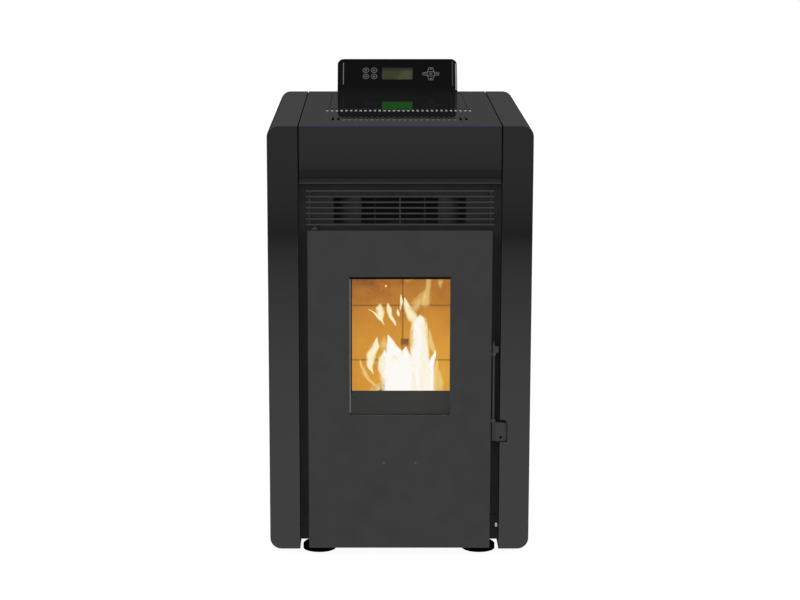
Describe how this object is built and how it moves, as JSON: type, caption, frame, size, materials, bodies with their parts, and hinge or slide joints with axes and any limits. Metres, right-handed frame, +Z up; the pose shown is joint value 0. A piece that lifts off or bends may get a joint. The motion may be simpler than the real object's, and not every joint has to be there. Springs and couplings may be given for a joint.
{
  "type": "pellet stove",
  "caption": "Free-standing pellet stove with a glazed fire door, a turning latch, a hopper lid, a warm-air grille and a leaning control display.",
  "frame": {"origin": "on the floor, under the middle of the whole object's box", "axes": "+Z up, the door faces -Y, the flue spigot points to +Y, +X to the right seen from the front"},
  "size_m": [0.46, 0.68, 0.8326],
  "materials": {
    "panel_paint": "satin",
    "top_gloss": "gloss",
    "door_paint": "matte",
    "frame_black": "matte",
    "galvanised": "galvanised",
    "bare_steel": "bare",
    "zinc": "bright",
    "cast": "as cast",
    "lining": "pressed board",
    "pane": "polished",
    "display_case": "gloss",
    "display_glass": "gloss",
    "lcd": "satin",
    "key_print": "printed",
    "black_plastic": "matte",
    "board_green": "solder mask",
    "seal": "matte",
    "rope": "woven glass rope",
    "motor": "satin"
  },
  "bodies": {
    "casing": {"base_plate": "frame_black", "feet": "black_plastic", "foot_studs": "zinc", "foot_nuts": "zinc", "left_side_panel": "panel_paint", "right_side_panel": "panel_paint", "rear_panel": "panel_paint", "top_cover": "top_gloss", "front_frame": "frame_black", "air_grille": "frame_black", "slot_tray": "galvanised", "lid_hinges": "zinc", "lid_seal": "seal", "hopper": "galvanised", "hopper_grate": "zinc", "display_housing": "display_case", "display_face": "display_glass", "display_lcd": "lcd", "touch_keys": "key_print", "hinge_brackets": "bare_steel", "latch_keeper": "bare_steel", "firebox": "bare_steel", "back_lining": "lining", "side_linings": "lining", "baffle": "lining", "burn_pot_holder": "bare_steel", "igniter": "bare_steel", "ash_pan": "bare_steel", "exchanger": "frame_black", "auger_tube": "bare_steel", "auger_gearmotor": "motor", "pellet_chute": "bare_steel", "exhaust_duct": "galvanised", "exhaust_fan_housing": "galvanised", "exhaust_motor": "motor", "flue_spigot": "bare_steel", "air_inlet_pipe": "galvanised", "room_fan_housing": "galvanised", "room_fan_motor": "motor", "air_riser": "galvanised", "control_board": "board_green", "power_inlet": "black_plastic", "casing_screws": "zinc"},
    "door": {"door_skin": "door_paint", "door_frame": "frame_black", "door_glass": "pane", "glass_gasket": "rope", "glass_clips": "bare_steel", "door_gasket": "rope", "badge_rivets": "zinc", "latch_brackets": "door_paint"},
    "latch": {"latch_rod": "door_paint", "latch_grip": "door_paint", "latch_cam": "door_paint"},
    "lid": {"hopper_lid": "top_gloss"},
    "auger": {"auger_screw": "bare_steel"},
    "exhaust_wheel": {"exhaust_impeller": "bare_steel"},
    "room_wheel": {"room_fan_rotor": "galvanised"},
    "pot": {"burn_pot": "cast"},
    "rocker": {"rocker_switch": "black_plastic"}
  },
  "joints": [
    {"name": "door_hinge", "type": "hinge", "parent": "casing", "child": "door", "pos_m": [-0.1485, -0.329, 0.3027], "axis": [0, 0, -1], "range_deg": [0, 110]},
    {"name": "latch_turn", "type": "hinge", "parent": "door", "child": "latch", "pos_m": [0.1651, -0.331, 0.309], "axis": [0, 0, -1], "range_deg": [0, 70]},
    {"name": "lid_hinge", "type": "hinge", "parent": "casing", "child": "lid", "pos_m": [0, 0.202, 0.767], "axis": [-1, 0, 0], "range_deg": [0, 85]},
    {"name": "auger_spin", "type": "hinge", "parent": "casing", "child": "auger", "pos_m": [0, 0.165, 0.345], "axis": [0, -0.7071, 0.7071], "continuous": true},
    {"name": "exhaust_fan_spin", "type": "hinge", "parent": "casing", "child": "exhaust_wheel", "pos_m": [-0.067, 0.08, 0.15], "axis": [1, 0, 0], "continuous": true},
    {"name": "room_fan_spin", "type": "hinge", "parent": "casing", "child": "room_wheel", "pos_m": [0.11, -0.024, 0.091], "axis": [1, 0, 0], "continuous": true},
    {"name": "burn_pot_lift", "type": "slide", "parent": "casing", "child": "pot", "axis": [0, 0, 1], "range_m": [0, 0.06]},
    {"name": "rocker_tilt", "type": "hinge", "parent": "casing", "child": "rocker", "pos_m": [0.17, 0.26, 0.1295], "axis": [1, 0, 0], "range_deg": [0, 20]}
  ]
}
